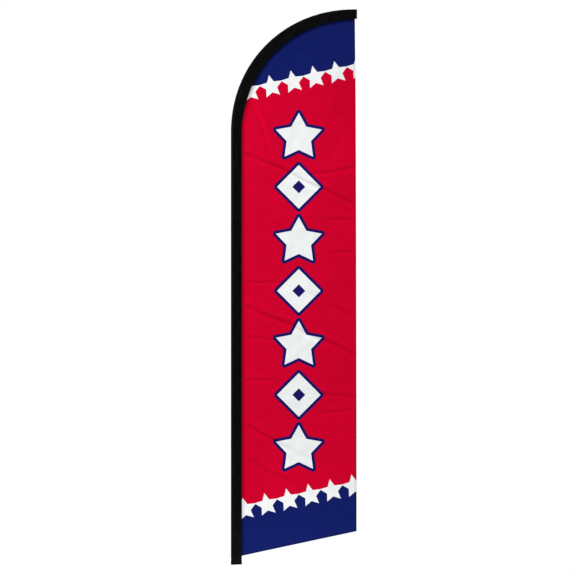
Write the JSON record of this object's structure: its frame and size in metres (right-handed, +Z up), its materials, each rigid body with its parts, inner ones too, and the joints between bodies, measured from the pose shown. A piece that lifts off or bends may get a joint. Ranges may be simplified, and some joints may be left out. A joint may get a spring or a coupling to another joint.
{
  "type": "feather flag with pole",
  "caption": "Tall curved-top feather flag: printed red, white and navy cloth sewn to a black sleeve over a slip-fit pole that turns on a foot swivel.",
  "frame": {"origin": "centre of the pole's foot, on the flat foot face of the swivel spindle that stands on the ground base", "axes": "+Z up the pole, +X from the pole towards the free edge of the cloth, -Y towards a person who reads the front of the flag"},
  "size_m": [0.7964, 0.031, 3.505],
  "materials": {
    "printed_cloth": "matte",
    "black_cloth": "matte",
    "black_tape": "matte",
    "webbing": "matte",
    "satin_aluminium": "satin",
    "rivet_aluminium": "satin",
    "black_nylon": "satin",
    "fibreglass": "satin",
    "black_rubber": "matte",
    "white_nylon": "satin",
    "zinc_steel": "satin",
    "spring_steel": "satin"
  },
  "bodies": {
    "foot": {"foot_spindle": "zinc_steel", "thrust_washer": "white_nylon", "retaining_clip": "spring_steel"},
    "lower_pole": {"lower_tube": "satin_aluminium", "lower_ferrule": "black_nylon", "lower_spigot": "satin_aluminium", "lower_rivet": "rivet_aluminium", "lower_bush": "white_nylon", "upper_bush": "white_nylon"},
    "middle_pole": {"middle_tube": "satin_aluminium", "middle_ferrule": "black_nylon", "middle_spigot": "satin_aluminium", "middle_rivet": "rivet_aluminium"},
    "upper_pole": {"upper_tube": "satin_aluminium", "upper_ferrule": "black_nylon"},
    "flag": {"tip_adapter": "black_nylon", "tip_rod": "fibreglass", "tip_cap": "black_rubber", "tip_pocket": "webbing", "pole_sleeve": "black_cloth", "flag_panel": "printed_cloth", "seam_tape": "black_tape", "foot_binding": "black_tape"}
  },
  "joints": [
    {"name": "flag_swivel", "type": "hinge", "parent": "foot", "child": "lower_pole", "pos_m": [0, 0, 0], "axis": [0, 0, 1], "continuous": true},
    {"name": "lower_joint", "type": "slide", "parent": "lower_pole", "child": "middle_pole", "axis": [0, 0, 1], "range_m": [0, 0.1]},
    {"name": "middle_joint", "type": "slide", "parent": "middle_pole", "child": "upper_pole", "axis": [0, 0, 1], "range_m": [0, 0.1]},
    {"name": "tip_joint", "type": "slide", "parent": "upper_pole", "child": "flag", "axis": [0, 0, 1], "range_m": [0, 0.1]}
  ]
}
